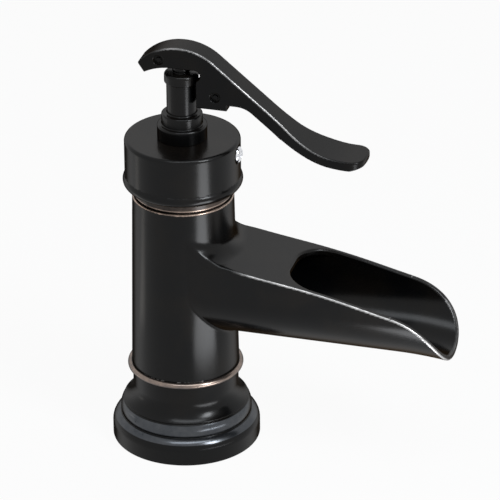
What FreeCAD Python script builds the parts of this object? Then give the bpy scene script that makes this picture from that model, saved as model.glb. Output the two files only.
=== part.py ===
import FreeCAD, Part
import math
import os

# Single-hole basin mixer in the shape of a hand pump: a turned column on a stepped base,
# an open trough spout, and a cap that carries a turned post and a pump lever.
# Millimetres. The origin is the centre of the base on the deck, +Z is up and the spout
# points to -Y. "Reach" is the distance in front of the column's axis, along -Y.

# The column is built round a ceramic cartridge of the 35 mm size, and its shank goes down
# into the base
cartridge_r = 17.5
column_wall = 4.5
column_taper = 1.5
column_top_z = 117.3
column_foot_z = 36.4
column_edge = 0.6
shank_step = 2.0
root_fillet = 5.2

# Base flange, from the deck up. "Proud" is how far it stands out from the foot of the column.
rim_proud = 8.9
rim_z = 5.3
rim_edge = 0.8
ogee_top_proud = 5.0
ogee_top_z = 11.6
ogee_bulge = 1.22
ovolo_top_proud = 4.0
ovolo_top_z = 18.0
ovolo_bulge = 0.6
cove_top_inset = 0.4
cove_top_z = 27.0
cove_hollow = 1.23
bead_proud = 1.8
bead_tube_r = 1.4
gasket_in_step = 3.5
gasket_out_step = 3.4
gasket_thick = 1.6
flange_oring_z = 16.0
flange_oring_tube_r = 1.2

# Waterfall spout: an upright U in section, open on top in front of a short roof
spout_inset = 0.8
spout_wall = 2.7
spout_floor_z = 56.1
spout_top_below_column = 18.1
spout_slope_deg = 11.36
lip_start_reach = 99.0
lip_arc_r = 28.0
trough_back_step = 0.5
slot_start_reach = 49.5
slot_corner_r = 14.0

# Waterways in the casting
inlet_deg = 52.3
inlet_port_r = 2.0
inlet_port_lap = 1.14
inlet_thread_spread = 6.5
inlet_thread_r = 4.5
inlet_thread_depth = 12.0
stud_behind = 10.5
stud_thread_r = 3.35
stud_thread_depth = 14.0
outlet_behind = 3.4
outlet_port_r = 3.0
outlet_slot_width = 4.4
outlet_slot_height = 12.0
outlet_slot_above_floor = 7.0

# Ceramic cartridge
chamber_depth = 20.0
base_plate_thick = 4.0
seal_depth = 1.6
seal_width = 1.8
peg_r = 1.5
peg_depth = 2.0
peg_inset = 1.8
disc_thick = 3.0
mix_pocket_lap = 0.6
mix_pocket_depth = 1.6
carrier_thick = 3.4
housing_shoulder_h = 11.0
housing_shoulder = 3.0
housing_wall = 1.4
housing_lip = 1.5
rotor_top_above_pivot = 5.5
rotor_flange_thick = 4.6
stem_blade = 6.0
stem_square = 8.0
stem_square_above_pivot = 8.0
stem_above_screw = 2.6
stem_ball_r = 2.5
stem_arm_r = 1.7
pivot_pin_r = 1.5
lift_deg = 20.0

# Nut that holds the cartridge down, and the trim ring that hides it
nut_thread_step = 1.5
nut_wall = 1.4
nut_top_above_column = 5.6
trim_step = 0.8
trim_groove = 0.6
trim_groove_height = 0.8
trim_edge = 0.8
trim_height = 4.6

# Handle cap
cap_swing_gap = 1.0
cap_wall = 2.0
cap_rim_above_column = 4.9
cap_height = 22.0
cap_edge_r = 1.5
cap_bead_proud = 0.7
cap_bead_height = 4.5
hub_r = 8.0
hub_above_rim = 5.3
screw_below_top = 5.6
screw_boss_r = 5.2
screw_thread_r = 2.4
screw_head_r = 3.5
screw_hole_r = 4.0
screw_head_proud = 1.7
screw_head_depth = 4.4
screw_dome_height = 1.4
screw_cross_reach = 2.1
screw_cross_width = 0.9
screw_cross_depth = 1.3

# Turned post on the cap, and the countersunk screw that holds it from inside
foot_r = 10.75
foot_height = 6.5
ring_r = 8.86
ring_height = 5.1
post_edge = 0.7
shaft_r = 6.5
shaft_height = 14.4
collar_r = 7.4
collar_height = 4.8
neck_r = 3.8
neck_height = 3.0
lever_stud_r = 3.0
lever_stud_height = 5.0
post_screw_r = 2.4
post_screw_length = 12.0
post_screw_head_r = 3.9
post_screw_head_height = 1.5

# Pump lever: a round crest over the post, a straight bar, and a grip that curves up again.
# Rises and drops are counted from the top of the post's neck, where the lever sits on it.
lever_half_width = 5.2
lever_edge_r = 0.8
tail_reach = 17.0
tail_cut = 5.5
tail_cut_deg = 56.0
crest_r = 24.0
crest_reach = 0.5
crest_rise = 9.6
bar_deg = 39.2
bar_thick = 5.2
grip_r = 28.6
grip_thick = 4.1
grip_half_width = 9.0
grip_run = 12.5
grip_nose = 6.0
grip_nose_bulge = 0.6
grip_tip_thick = 2.0
lever_reach = 83.0
lever_flare_start = 28.0
web_reach = 21.4
web_drop = 17.2
web_step = 2.6
web_fillet_r = 11.0
notch_reach = 9.7
notch_drop = 5.0
lever_saddle_gap = 0.5
dimple_r = 2.2
dimple_depth = 1.2
tail_hollow = 0.5
tail_dimple = (-8.6, 3.1)
web_dimple = (16.2, -11.5)

# Fits: a gap between pieces that are put together, and one between pieces that run
fit_gap = 0.1
run_gap = 0.3
pin_gap = 0.05
lapped_gap = 0.02

V = FreeCAD.Vector
BIG = 300.0


def in_turning_plane(r, z):
    return V(r, 0, z)


def in_side_plane(reach, z):
    return V(0, -reach, z)


def in_plan(x, reach):
    return V(x, -reach, 0)


def face(place, start, *moves):
    """Closed flat face. A move of two numbers is a line, and of four an arc through a point."""
    edges = []
    here = start
    for move in moves + (start,):
        end = tuple(move[-2:])
        if len(move) == 4:
            edges.append(Part.Arc(place(*here), place(*move[:2]), place(*end)).toShape())
        elif math.dist(here, end) > 1e-6:
            edges.append(Part.LineSegment(place(*here), place(*end)).toShape())
        here = end
    return Part.Face(Part.Wire(edges))


def bulged(start, end, bulge):
    """Move along an arc whose middle stands off the straight line, to the right if positive."""
    half = ((end[0] - start[0]) / 2, (end[1] - start[1]) / 2)
    off = bulge / math.hypot(*half)
    return (start[0] + half[0] + off * half[1], start[1] + half[1] - off * half[0], *end)


def on_circle(centre, r, deg):
    return (centre[0] + r * math.cos(math.radians(deg)), centre[1] + r * math.sin(math.radians(deg)))


def arc_to(centre, r, deg0, deg1):
    """Move along a circle: the point half way and the end."""
    return on_circle(centre, r, (deg0 + deg1) / 2) + on_circle(centre, r, deg1)


def turned(start, *moves):
    return face(in_turning_plane, start, *moves).revolve(V(0, 0, 0), V(0, 0, 1), 360)


def rod(r, z0, z1, x=0.0, y=0.0):
    return Part.makeCylinder(r, z1 - z0, V(x, y, z0))


def rod_along(r, start, end):
    return Part.makeCylinder(r, (end - start).Length, start, end - start)


def tube(r_out, r_in, z0, z1, x=0.0, y=0.0):
    return rod(r_out, z0, z1, x, y).cut(rod(r_in, z0, z1, x, y))


def block(x0, x1, y0, y1, z0, z1):
    return Part.makeBox(x1 - x0, y1 - y0, z1 - z0, V(x0, y0, z0))


def across(side_face, half_width):
    """Solid made by drawing a side face out to both sides of the X = 0 plane."""
    return side_face.translated(V(-half_width, 0, 0)).extrude(V(2 * half_width, 0, 0))


# Levels and radii that follow from the sizes above
column_top_r = cartridge_r + column_wall
column_foot_r = column_top_r + column_taper
shank_r = column_top_r - shank_step
rim_r = column_foot_r + rim_proud
bead_r = column_foot_r + bead_proud
gasket_in_r = shank_r + gasket_in_step
gasket_out_r = rim_r - gasket_out_step
spout_half_width = column_top_r - spout_inset
spout_centre_z = spout_floor_z + spout_half_width
trough_back_reach = column_foot_r + trough_back_step
spout_slope = math.tan(math.radians(spout_slope_deg))
spout_top_z_at_axis = column_top_z - spout_top_below_column
floor_z = column_top_z - chamber_depth
pivot_z = column_top_z
chamber_r = cartridge_r + fit_gap
plate_top_z = floor_z + base_plate_thick
fixed_top_z = plate_top_z + disc_thick
moving_z = fixed_top_z + lapped_gap
moving_top_z = moving_z + disc_thick
carrier_top_z = moving_top_z + carrier_thick
rotor_z = carrier_top_z + run_gap
shoulder_z = floor_z + housing_shoulder_h
housing_neck_r = cartridge_r - housing_shoulder
housing_in_r = housing_neck_r - housing_wall
fixed_disc_r = housing_in_r - run_gap
peg_spread = fixed_disc_r - peg_inset
ball_z = moving_top_z + stem_ball_r + run_gap
disc_travel = (pivot_z - ball_z) * math.sin(math.radians(lift_deg))
moving_disc_r = housing_in_r - disc_travel - run_gap
inlet_circle_r = moving_disc_r - inlet_port_r - inlet_port_lap
inlet_spread = inlet_circle_r * math.sin(math.radians(inlet_deg))
inlet_reach = inlet_circle_r * math.cos(math.radians(inlet_deg))
nut_thread_r = cartridge_r + nut_thread_step
nut_corner_r = (housing_neck_r + fit_gap + nut_wall) / math.cos(math.radians(30))
rotor_flange_r = housing_in_r - pin_gap
rotor_neck_r = housing_in_r - housing_lip - pin_gap
cap_in_r = column_top_r + cap_swing_gap
cap_r = cap_in_r + cap_wall
cap_rim_z = column_top_z + cap_rim_above_column
cap_top_z = cap_rim_z + cap_height
cap_roof_z = cap_top_z - cap_wall
screw_z = cap_top_z - screw_below_top
screw_seat_reach = cap_r + screw_head_proud - screw_head_depth
stem_top_z = screw_z + stem_above_screw
socket_top_z = stem_top_z + run_gap
ring_z = cap_top_z + foot_height
shaft_z = ring_z + ring_height
collar_z = shaft_z + shaft_height
neck_z = collar_z + collar_height
lever_z = neck_z + neck_height


def spout_top_z(reach):
    return spout_top_z_at_axis - reach * spout_slope


def column_r_at(z):
    share = (z - column_foot_z) / (column_top_z - column_edge - column_foot_z)
    return column_foot_r + (column_top_r - column_foot_r) * share


def port_places():
    """Places and radii of the two inlets and the mixed outlet under the cartridge."""
    return [
        (-inlet_spread, -inlet_reach, inlet_port_r),
        (inlet_spread, -inlet_reach, inlet_port_r),
        (0.0, outlet_behind, outlet_port_r),
    ]


def upright_u(half_width, reach0, reach1):
    """Prism along the spout with a round bottom and straight sides, far higher than the spout."""
    bottom_z = spout_centre_z - half_width
    section = face(
        lambda x, z: V(x, -reach0, z),
        (-half_width, BIG),
        (-half_width, spout_centre_z),
        (0, bottom_z, half_width, spout_centre_z),
        (half_width, BIG),
    )
    return section.extrude(V(0, reach0 - reach1, 0))


def spout_side(drop):
    """Side outline of the spout: the sloping top, lowered by drop, and the scooped lip."""
    slope = math.radians(spout_slope_deg)
    start = (lip_start_reach, spout_top_z(lip_start_reach) - drop)
    centre = (start[0] - lip_arc_r * math.sin(slope), start[1] - lip_arc_r * math.cos(slope))
    half_turn = math.radians(90 - spout_slope_deg) / 2
    middle = (centre[0] + lip_arc_r * math.cos(half_turn), centre[1] + lip_arc_r * math.sin(half_turn))
    tip_reach = centre[0] + lip_arc_r
    return face(
        in_side_plane,
        (0, -BIG),
        (0, spout_top_z(0) - drop),
        start,
        (*middle, tip_reach, centre[1]),
        (tip_reach, -BIG),
    )


def trough():
    """Water channel: under the roof behind the slot, and open to the top in front of it."""
    inner_half_width = spout_half_width - spout_wall
    slot_reach = slot_start_reach + slot_corner_r
    ceiling = face(
        in_side_plane,
        (0, -BIG),
        (0, spout_top_z(0) - spout_wall),
        (slot_reach, spout_top_z(slot_reach) - spout_wall),
        (slot_reach, BIG),
        (BIG, BIG),
        (BIG, -BIG),
    )
    channel = upright_u(inner_half_width, trough_back_reach, BIG).common(across(ceiling, BIG))
    corner = slot_corner_r * (1 - math.sqrt(0.5))
    flat = inner_half_width - slot_corner_r
    slot = face(
        in_plan,
        (-flat, slot_start_reach),
        (flat, slot_start_reach),
        (inner_half_width - corner, slot_start_reach + corner, inner_half_width, slot_reach),
        (inner_half_width, BIG),
        (-inner_half_width, BIG),
        (-inner_half_width, slot_reach),
        (-inner_half_width + corner, slot_start_reach + corner, -flat, slot_start_reach),
    )
    return channel.fuse(slot.translated(V(0, 0, spout_centre_z)).extrude(V(0, 0, BIG)))


def make_faucet_body():
    column = turned(
        (0, 0),
        (shank_r, 0),
        (shank_r, column_foot_z),
        (column_foot_r, column_foot_z),
        (column_top_r, column_top_z - column_edge),
        (column_top_r - column_edge, column_top_z),
        (0, column_top_z),
    )
    spout = upright_u(spout_half_width, 0, BIG).common(across(spout_side(0), BIG))
    casting = column.fuse(spout).removeSplitter().Solids[0]
    root_edges = []
    for edge in casting.Edges:
        middle = edge.valueAt((edge.FirstParameter + edge.LastParameter) / 2)
        on_column = abs(math.hypot(middle.x, middle.y) - column_r_at(middle.z)) < 1e-3
        if on_column and middle.y < -column_edge:
            root_edges.append(edge)
    casting = casting.makeFillet(root_fillet, root_edges)

    # Cartridge chamber with the nut's bore above it, and holes for the cartridge's two pegs
    casting = casting.cut(rod(chamber_r, floor_z, BIG)).cut(rod(nut_thread_r, shoulder_z, BIG))
    for side in (-1, 1):
        hole = rod(peg_r + fit_gap, floor_z - peg_depth - fit_gap, BIG, side * peg_spread, outlet_behind)
        casting = casting.cut(hole)

    # Two supplies rise from hose threads in the floor, and the mixed water drops to the trough
    for side in (-1, 1):
        casting = casting.cut(rod(inlet_port_r, 0, BIG, side * inlet_spread, -inlet_reach))
        hose = rod(inlet_thread_r, 0, inlet_thread_depth, side * inlet_thread_spread, -inlet_reach)
        casting = casting.cut(hose)
    slot_z = spout_floor_z + outlet_slot_above_floor
    casting = casting.cut(rod(outlet_port_r, slot_z, BIG, 0, outlet_behind))
    half_slot = outlet_slot_width / 2
    slot_top_z = slot_z + outlet_slot_height
    casting = casting.cut(block(-half_slot, half_slot, -trough_back_reach, outlet_behind, slot_z, slot_top_z))
    casting = casting.cut(rod(stud_thread_r, 0, stud_thread_depth, 0, stud_behind))
    casting = casting.cut(trough())
    groove_r = shank_r - flange_oring_tube_r
    groove = Part.makeTorus(groove_r + fit_gap, flange_oring_tube_r + fit_gap, V(0, 0, flange_oring_z))
    return casting.cut(groove)


def make_base_flange():
    bore_r = shank_r + fit_gap
    bead_centre_r = bead_r - bead_tube_r
    bead_z = column_foot_z - bead_tube_r
    ogee_top = (column_foot_r + ogee_top_proud, ogee_top_z)
    ovolo_top = (column_foot_r + ovolo_top_proud, ovolo_top_z)
    cove_top = (column_foot_r - cove_top_inset, cove_top_z)
    return turned(
        (bore_r, 0),
        (gasket_in_r, 0),
        (gasket_in_r, gasket_thick),
        (gasket_out_r, gasket_thick),
        (gasket_out_r, 0),
        (rim_r - rim_edge, 0),
        (rim_r, rim_edge),
        (rim_r, rim_z),
        bulged((rim_r, rim_z), ogee_top, ogee_bulge),
        bulged(ogee_top, ovolo_top, ovolo_bulge),
        bulged(ovolo_top, cove_top, -cove_hollow),
        (cove_top[0], bead_z - bead_tube_r),
        (bead_centre_r, bead_z - bead_tube_r),
        (bead_r, bead_z, bead_centre_r, column_foot_z),
        (bore_r, column_foot_z),
    )


def make_deck_gasket():
    return tube(gasket_out_r - fit_gap, gasket_in_r + fit_gap, 0, gasket_thick)


def make_flange_oring():
    return Part.makeTorus(shank_r - flange_oring_tube_r + fit_gap, flange_oring_tube_r, V(0, 0, flange_oring_z))


def make_cartridge_base():
    plate = rod(cartridge_r, floor_z, plate_top_z)
    for side in (-1, 1):
        plate = plate.fuse(rod(peg_r, floor_z - peg_depth, floor_z, side * peg_spread, outlet_behind))
    for x, y, r in port_places():
        plate = plate.cut(rod(r, floor_z, plate_top_z, x, y))
        plate = plate.cut(rod(r + seal_width, floor_z, floor_z + seal_depth, x, y))
    return plate


def make_port_seals():
    return Part.makeCompound(
        [tube(r + seal_width, r, floor_z, floor_z + seal_depth, x, y) for x, y, r in port_places()]
    )


def make_fixed_disc():
    disc = rod(fixed_disc_r, plate_top_z, fixed_top_z)
    for x, y, r in port_places():
        disc = disc.cut(rod(r, plate_top_z, fixed_top_z, x, y))
    return disc


def make_moving_disc():
    """At rest the pocket stops short of both inlets. Moved, it joins one or both to the outlet."""
    pocket_r = inlet_circle_r - inlet_port_r - mix_pocket_lap
    disc = rod(moving_disc_r, moving_z, moving_top_z)
    return disc.cut(rod(pocket_r, moving_z, moving_z + mix_pocket_depth))


def make_disc_carrier():
    carrier = rod(moving_disc_r, moving_top_z, carrier_top_z)
    return carrier.cut(rod(stem_ball_r + run_gap, moving_top_z, carrier_top_z))


def make_cartridge_housing():
    """Plastic cup over the discs. Its shoulder is clamped by the nut and its lip keeps the rotor in."""
    lip_z = rotor_z + rotor_flange_thick + run_gap
    top_z = pivot_z + rotor_top_above_pivot - housing_lip
    return turned(
        (housing_in_r, plate_top_z),
        (cartridge_r, plate_top_z),
        (cartridge_r, shoulder_z),
        (housing_neck_r, shoulder_z),
        (housing_neck_r, top_z),
        (rotor_neck_r + pin_gap, top_z),
        (rotor_neck_r + pin_gap, lip_z),
        (housing_in_r, lip_z),
    )


def make_rotor():
    top_z = pivot_z + rotor_top_above_pivot
    rotor = turned(
        (0, rotor_z),
        (rotor_flange_r, rotor_z),
        (rotor_flange_r, rotor_z + rotor_flange_thick),
        (rotor_neck_r, rotor_z + rotor_flange_thick),
        (rotor_neck_r, top_z),
        (0, top_z),
    )
    swing = (rotor_top_above_pivot + stem_blade) * math.tan(math.radians(lift_deg))
    slot_half_x = stem_blade / 2 + run_gap
    slot_half_y = stem_blade / 2 + swing
    rotor = rotor.cut(block(-slot_half_x, slot_half_x, -slot_half_y, slot_half_y, 0, BIG))
    return rotor.cut(pivot_pin(pivot_pin_r))


def pivot_pin(r):
    half_length = rotor_neck_r - pivot_pin_r / 2
    return rod_along(r, V(-half_length, 0, pivot_z), V(half_length, 0, pivot_z))


def make_cartridge_stem():
    half_blade = stem_blade / 2
    half_square = stem_square / 2
    square_z = pivot_z + stem_square_above_pivot
    blade_z = ball_z + stem_ball_r
    stem = block(-half_blade, half_blade, -half_blade, half_blade, blade_z, square_z)
    stem = stem.fuse(block(-half_square, half_square, -half_square, half_square, square_z, stem_top_z))
    stem = stem.fuse(rod(stem_arm_r, ball_z, blade_z))
    stem = stem.fuse(Part.makeSphere(stem_ball_r, V(0, 0, ball_z)))
    return stem.cut(pivot_pin(pivot_pin_r + pin_gap)).removeSplitter()


def make_retaining_nut():
    top_z = column_top_z + nut_top_above_column
    corners = [V(*on_circle((0, 0), nut_corner_r, 60 * i), column_top_z) for i in range(7)]
    head = Part.Face(Part.makePolygon(corners)).extrude(V(0, 0, top_z - column_top_z))
    nut = rod(nut_thread_r, shoulder_z, column_top_z).fuse(head)
    return nut.cut(rod(housing_neck_r + fit_gap, shoulder_z, top_z))


def make_trim_ring():
    out_r = column_top_r - trim_step
    in_r = nut_corner_r + fit_gap
    top_z = column_top_z + trim_height
    return turned(
        (in_r, column_top_z),
        (out_r - trim_groove, column_top_z),
        (out_r - trim_groove, column_top_z + trim_groove_height),
        (out_r, column_top_z + trim_groove_height),
        (out_r, top_z - trim_edge),
        (out_r - trim_edge, top_z),
        (in_r, top_z),
    )


def post_screw_head():
    return Part.makeCone(post_screw_head_r, post_screw_r, post_screw_head_height, V(0, 0, socket_top_z))


def make_handle_cap():
    proud_r = cap_r + cap_bead_proud
    bead_top_z = cap_rim_z + cap_bead_height
    edge_centre = (cap_r - cap_edge_r, cap_top_z - cap_edge_r)
    shell = turned(
        (cap_in_r, cap_rim_z),
        (cap_r - cap_edge_r / 2, cap_rim_z),
        (proud_r, cap_rim_z + cap_bead_height / 3, cap_r, bead_top_z),
        (cap_r, cap_top_z - cap_edge_r),
        arc_to(edge_centre, cap_edge_r, 0, 90),
        (0, cap_top_z),
        (0, cap_roof_z),
        (cap_in_r, cap_roof_z),
    )
    hub = rod(hub_r, cap_rim_z + hub_above_rim, cap_roof_z)
    boss = rod_along(screw_boss_r, V(0, 0, screw_z), V(0, -cap_in_r - cap_wall / 2, screw_z))
    cap = shell.fuse(hub).fuse(boss)
    half_socket = stem_square / 2 + fit_gap
    cap = cap.cut(block(-half_socket, half_socket, -half_socket, half_socket, 0, socket_top_z))
    cap = cap.cut(post_screw_head()).cut(rod(post_screw_r + fit_gap, socket_top_z, BIG))
    cap = cap.cut(rod_along(screw_thread_r, V(0, 0, screw_z), V(0, -BIG, screw_z)))
    cap = cap.cut(rod_along(screw_hole_r, V(0, -screw_seat_reach, screw_z), V(0, -BIG, screw_z)))
    return cap.removeSplitter()


def make_cap_screw():
    """Pan-head screw, turned about the -Y axis, with a cross recess in its domed head."""
    tip = stem_square / 2 + fit_gap
    head_end = screw_seat_reach + screw_head_depth
    dome_r = (screw_head_r ** 2 + screw_dome_height ** 2) / (2 * screw_dome_height)
    dome_deg = math.degrees(math.acos(screw_head_r / dome_r))
    screw = face(
        lambda r, reach: V(r, -reach, screw_z),
        (0, tip),
        (screw_thread_r, tip),
        (screw_thread_r, screw_seat_reach),
        (screw_head_r, screw_seat_reach),
        (screw_head_r, head_end - screw_dome_height),
        arc_to((0, head_end - dome_r), dome_r, dome_deg, 90),
    ).revolve(V(0, 0, screw_z), V(0, 1, 0), 360)
    half = screw_cross_width / 2
    bottom_y = screw_cross_depth - head_end
    for half_x, half_z in ((screw_cross_reach, half), (half, screw_cross_reach)):
        screw = screw.cut(block(-half_x, half_x, -BIG, bottom_y, screw_z - half_z, screw_z + half_z))
    return screw


def make_lever_post():
    collar_mid_z = collar_z + collar_height / 2
    post = turned(
        (0, cap_top_z),
        (foot_r, cap_top_z),
        (foot_r, ring_z - post_edge),
        (foot_r - post_edge, ring_z),
        (ring_r, ring_z),
        (ring_r, shaft_z - post_edge),
        (ring_r - post_edge, shaft_z),
        (shaft_r, shaft_z),
        (shaft_r, collar_z),
        (collar_r, collar_mid_z, shaft_r - post_edge, neck_z),
        (neck_r, neck_z),
        (neck_r, lever_z),
        (lever_stud_r, lever_z),
        (lever_stud_r, lever_z + lever_stud_height),
        (0, lever_z + lever_stud_height),
    )
    return post.cut(rod(post_screw_r, cap_top_z, cap_top_z + post_screw_length))


def make_post_screw():
    shank = rod(post_screw_r, socket_top_z, cap_top_z + post_screw_length - fit_gap)
    return post_screw_head().fuse(shank)


# The lever's crest, bar and grip, as (reach, rise) pairs. The bar is tangent to both circles.
bar_slope = math.radians(bar_deg)
bar_along = (math.cos(bar_slope), -math.sin(bar_slope))
bar_normal = (math.sin(bar_slope), math.cos(bar_slope))
crest_centre = (crest_reach, crest_rise - crest_r)
bar_start = on_circle(crest_centre, crest_r, 90 - bar_deg)
bar_end_reach = lever_reach - grip_run - grip_r * bar_normal[0]
bar_length = (bar_end_reach - bar_start[0]) / bar_along[0]
bar_end = (bar_end_reach, bar_start[1] + bar_length * bar_along[1])
grip_centre = (bar_end[0] + grip_r * bar_normal[0], bar_end[1] + grip_r * bar_normal[1])


def on_lever_top(reach, rise):
    above_bar = (reach - bar_start[0]) * bar_normal[0] + (rise - bar_start[1]) * bar_normal[1]
    above_crest = math.dist((reach, rise), crest_centre) - crest_r
    above_grip = math.dist((reach, rise), grip_centre) - grip_r
    return min(abs(above_bar), abs(above_crest), abs(above_grip)) < 1e-4


def lever_side():
    """Side outline of the lever, from the tail over the crest to the grip and back under it."""
    tail_deg = math.degrees(math.acos((-tail_reach - crest_reach) / crest_r))
    tail = on_circle(crest_centre, crest_r, tail_deg)
    cut = math.radians(tail_cut_deg)
    tail_low = (tail[0] + tail_cut * math.cos(cut), tail[1] - tail_cut * math.sin(cut))
    tip_deg = 270 + math.degrees(math.asin((lever_reach - grip_centre[0]) / grip_r))
    tip = on_circle(grip_centre, grip_r, tip_deg)

    # The underside is tangent to the bar's lower line and leaves the grip its thickness
    under_r = grip_r + (bar_thick - grip_thick * bar_normal[1]) / (1 - bar_normal[1])
    under_centre = (grip_centre[0], grip_centre[1] - grip_r - grip_thick + under_r)
    nose_deg = 270 + math.degrees(math.asin((lever_reach - grip_nose - under_centre[0]) / under_r))
    nose = on_circle(under_centre, under_r, nose_deg)
    tip_low = (tip[0], tip[1] - grip_tip_thick)

    # A fillet leads from the bar's lower line to the flat step beside the web
    step = -web_drop + web_step
    low = (bar_start[0] - bar_thick * bar_normal[0], bar_start[1] - bar_thick * bar_normal[1])
    fillet_end_rise = step + web_fillet_r * (bar_normal[1] - 1)
    fillet_reach = low[0] + (low[1] - fillet_end_rise) * bar_along[0] / -bar_along[1]
    fillet_centre = (fillet_reach - web_fillet_r * bar_normal[0], step - web_fillet_r)

    # The web stands clear of the post's shaft, with a notch above it for the post's collar
    web_in = collar_r + lever_saddle_gap
    under_neck = neck_r + lever_saddle_gap
    return face(
        lambda reach, rise: V(0, -reach, lever_z + rise),
        tail,
        arc_to(crest_centre, crest_r, tail_deg, 90 - bar_deg),
        bar_end,
        arc_to(grip_centre, grip_r, 270 - bar_deg, tip_deg),
        tip_low,
        bulged(tip_low, nose, -grip_nose_bulge),
        arc_to(under_centre, under_r, nose_deg, 270 - bar_deg),
        (fillet_reach, fillet_end_rise),
        arc_to(fillet_centre, web_fillet_r, 90 - bar_deg, 90),
        (web_reach, step),
        (web_reach, -web_drop),
        (web_in, -web_drop),
        (web_in, -notch_drop),
        (notch_reach, -notch_drop / 2, web_in, 0),
        (-under_neck, 0),
        bulged((-under_neck, 0), tail_low, tail_hollow),
    )


def lever_plan():
    """The lever from above: parallel sides, then a flare that runs into the round grip."""
    grip = (lever_reach - grip_half_width, 0)
    run = grip[0] - lever_flare_start
    flare_r = (run ** 2 + lever_half_width ** 2 - grip_half_width ** 2) / (2 * (grip_half_width - lever_half_width))
    turn = math.degrees(math.atan2(run, lever_half_width + flare_r))
    right = (lever_flare_start, lever_half_width + flare_r)
    left = (lever_flare_start, -lever_half_width - flare_r)
    return face(
        lambda reach, x: V(x, -reach, 0),
        (-BIG, -lever_half_width),
        (lever_flare_start, -lever_half_width),
        arc_to(left, flare_r, 90, 90 - turn),
        arc_to(grip, grip_half_width, -90 - turn, 90 + turn),
        arc_to(right, flare_r, turn - 90, -90),
        (-BIG, lever_half_width),
    )


def make_pump_lever():
    lever = across(lever_side(), 2 * grip_half_width).common(lever_plan().extrude(V(0, 0, BIG)))
    lever = lever.removeSplitter().Solids[0]
    top_edges = []
    for edge in lever.Edges:
        middle = edge.valueAt((edge.FirstParameter + edge.LastParameter) / 2)
        if abs(middle.x) > lever_half_width / 2 and on_lever_top(-middle.y, middle.z - lever_z):
            top_edges.append(edge)
    lever = lever.makeFillet(lever_edge_r, top_edges)
    lever = lever.cut(rod(lever_stud_r, lever_z, lever_z + lever_stud_height))
    for reach, rise in (tail_dimple, web_dimple):
        for side in (-1, 1):
            outer = V(side * lever_half_width, -reach, lever_z + rise)
            lever = lever.cut(rod_along(dimple_r, outer, outer - V(side * dimple_depth, 0, 0)))
    return lever


pieces = {
    "faucet_body": make_faucet_body(),
    "base_flange": make_base_flange(),
    "deck_gasket": make_deck_gasket(),
    "flange_oring": make_flange_oring(),
    "cartridge_base": make_cartridge_base(),
    "port_seals": make_port_seals(),
    "fixed_disc": make_fixed_disc(),
    "moving_disc": make_moving_disc(),
    "disc_carrier": make_disc_carrier(),
    "cartridge_housing": make_cartridge_housing(),
    "cartridge_rotor": make_rotor(),
    "pivot_pin": pivot_pin(pivot_pin_r),
    "cartridge_stem": make_cartridge_stem(),
    "retaining_nut": make_retaining_nut(),
    "trim_ring": make_trim_ring(),
    "handle_cap": make_handle_cap(),
    "cap_screw": make_cap_screw(),
    "lever_post": make_lever_post(),
    "post_screw": make_post_screw(),
    "pump_lever": make_pump_lever(),
}

os.makedirs("parts", exist_ok=True)
for name, shape in pieces.items():
    shape.exportStep("parts/" + name + ".step")
    print(name, shape.isValid(), len(shape.Solids), round(shape.Volume, 1), shape.BoundBox)
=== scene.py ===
import math

import bpy
import numpy as np
from mathutils import Matrix, Vector


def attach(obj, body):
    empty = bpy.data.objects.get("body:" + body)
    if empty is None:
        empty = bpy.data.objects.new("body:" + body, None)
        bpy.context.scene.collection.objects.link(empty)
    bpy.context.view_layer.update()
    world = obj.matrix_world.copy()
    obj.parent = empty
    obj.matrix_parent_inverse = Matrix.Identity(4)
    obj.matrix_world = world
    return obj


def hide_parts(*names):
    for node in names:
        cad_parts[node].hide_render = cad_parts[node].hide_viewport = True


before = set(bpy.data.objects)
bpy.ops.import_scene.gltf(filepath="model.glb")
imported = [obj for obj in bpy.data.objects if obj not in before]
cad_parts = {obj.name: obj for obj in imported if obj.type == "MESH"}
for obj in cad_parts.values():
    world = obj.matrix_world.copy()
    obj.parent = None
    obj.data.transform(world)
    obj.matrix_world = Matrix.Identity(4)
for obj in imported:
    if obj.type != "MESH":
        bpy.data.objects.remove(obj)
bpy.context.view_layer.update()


# Base flange. A stepped ring of brass, turned on a lathe and slipped over the column's shank,
# which draws it down on the deck. It has the dark patina of the whole faucet, and its top bead is
# rubbed back to copper. The grey metal sheen on its two shoulders is partly a guessed burnish and
# partly a painted highlight.

def rounded(corners, closed=False):
    """Points, outward directions and wear along a profile of (r, z, corner radius, wear)."""
    turn_step = math.radians(9)
    fade = 0.0005
    runs = []
    count = len(corners)
    for i, (r, z, radius, *wear) in enumerate(corners):
        here = Vector((r, z))
        before = (here - Vector(corners[i - 1][:2])).normalized()
        after = (Vector(corners[(i + 1) % count][:2]) - here).normalized()
        if not closed and i == 0:
            before = after
        if not closed and i == count - 1:
            after = before
        turn = math.atan2(before.cross(after), before.dot(after))
        steps = max(1, math.ceil(abs(turn) / turn_step))
        side = math.copysign(1, turn)
        start = here - before * (radius * math.tan(abs(turn) / 2))
        centre = start - side * radius * Vector((before.y, -before.x))
        run = []
        for step in range(steps + 1):
            angle = turn * step / steps
            along = Matrix.Rotation(angle, 2) @ before
            out = Vector((along.y, -along.x))
            run.append((centre + side * radius * out, out, wear[0] if wear else 0.0))
        runs.append(run if turn else run[:1])
    line = []
    for i, run in enumerate(runs):
        line += run
        if not closed and i == count - 1:
            break
        (start, out, _), (end, _, _) = run[-1], runs[(i + 1) % count][0]
        gap = (end - start).length
        if gap < 1e-6:
            line.pop()
        elif gap > 3 * fade:
            along = (end - start).normalized()
            line += [(start + along * fade, out, 0.0), (end - along * fade, out, 0.0)]
    return line


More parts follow.
